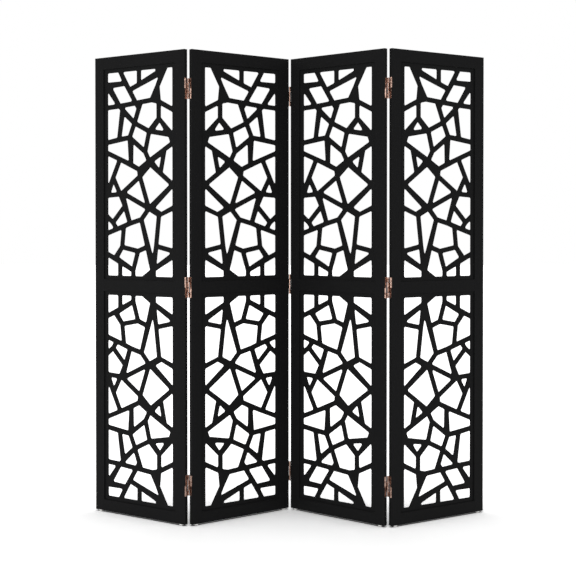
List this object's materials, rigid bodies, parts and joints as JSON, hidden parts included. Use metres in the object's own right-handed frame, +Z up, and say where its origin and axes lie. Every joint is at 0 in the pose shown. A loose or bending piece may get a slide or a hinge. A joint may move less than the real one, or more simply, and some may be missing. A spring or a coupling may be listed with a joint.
{
  "type": "folding screen",
  "caption": "Free-standing folding screen: black wooden panels with pierced crackle fretwork in grooved frames, joined by copper-coloured two-way hinges.",
  "frame": {"origin": "on the floor, under the middle of the standing screen's bounding box", "axes": "+Z up; X along the screen, panel 1 at -X; the face seen in the picture looks to -Y"},
  "size_m": [1.4974, 0.3048, 1.75],
  "materials": {
    "frame_lacquer": "black satin lacquer on wood",
    "fret_lacquer": "black satin lacquer on routed board",
    "hinge_copper": "satin copper plating",
    "glide_plastic": "matt, pale"
  },
  "bodies": {
    "panel_1": {"hinge_12_bottom_left_leaf": "hinge_copper", "hinge_12_middle_left_leaf": "hinge_copper", "hinge_12_top_left_leaf": "hinge_copper", "panel_1_bottom_rail": "frame_lacquer", "panel_1_glides": "glide_plastic", "panel_1_left_stile": "frame_lacquer", "panel_1_lower_fret": "fret_lacquer", "panel_1_mid_rail": "frame_lacquer", "panel_1_right_stile": "frame_lacquer", "panel_1_top_rail": "frame_lacquer", "panel_1_upper_fret": "fret_lacquer"},
    "panel_2": {"hinge_12_bottom_right_leaf": "hinge_copper", "hinge_12_middle_right_leaf": "hinge_copper", "hinge_12_top_right_leaf": "hinge_copper", "hinge_23_bottom_left_leaf": "hinge_copper", "hinge_23_middle_left_leaf": "hinge_copper", "hinge_23_top_left_leaf": "hinge_copper", "panel_2_bottom_rail": "frame_lacquer", "panel_2_glides": "glide_plastic", "panel_2_left_stile": "frame_lacquer", "panel_2_lower_fret": "fret_lacquer", "panel_2_mid_rail": "frame_lacquer", "panel_2_right_stile": "frame_lacquer", "panel_2_top_rail": "frame_lacquer", "panel_2_upper_fret": "fret_lacquer"},
    "panel_3": {"hinge_23_bottom_right_leaf": "hinge_copper", "hinge_23_middle_right_leaf": "hinge_copper", "hinge_23_top_right_leaf": "hinge_copper", "hinge_34_bottom_left_leaf": "hinge_copper", "hinge_34_middle_left_leaf": "hinge_copper", "hinge_34_top_left_leaf": "hinge_copper", "panel_3_bottom_rail": "frame_lacquer", "panel_3_glides": "glide_plastic", "panel_3_left_stile": "frame_lacquer", "panel_3_lower_fret": "fret_lacquer", "panel_3_mid_rail": "frame_lacquer", "panel_3_right_stile": "frame_lacquer", "panel_3_top_rail": "frame_lacquer", "panel_3_upper_fret": "fret_lacquer"},
    "panel_4": {"hinge_34_bottom_right_leaf": "hinge_copper", "hinge_34_middle_right_leaf": "hinge_copper", "hinge_34_top_right_leaf": "hinge_copper", "panel_4_bottom_rail": "frame_lacquer", "panel_4_glides": "glide_plastic", "panel_4_left_stile": "frame_lacquer", "panel_4_lower_fret": "fret_lacquer", "panel_4_mid_rail": "frame_lacquer", "panel_4_right_stile": "frame_lacquer", "panel_4_top_rail": "frame_lacquer", "panel_4_upper_fret": "fret_lacquer"}
  },
  "joints": [
    {"name": "fold_12", "type": "hinge", "parent": "panel_2", "child": "panel_1", "pos_m": [-0.36874, -0.11523, 0], "axis": [0, 0, -1], "range_deg": [-69.5, 108.5]},
    {"name": "fold_23", "type": "hinge", "parent": "panel_2", "child": "panel_3", "pos_m": [0.00361, 0.13451, 0], "axis": [0, 0, -1], "range_deg": [-75.1, 102.9]},
    {"name": "fold_34", "type": "hinge", "parent": "panel_3", "child": "panel_4", "pos_m": [0.36284, -0.13375, 0], "axis": [0, 0, 1], "range_deg": [-70.9, 107.1]}
  ]
}
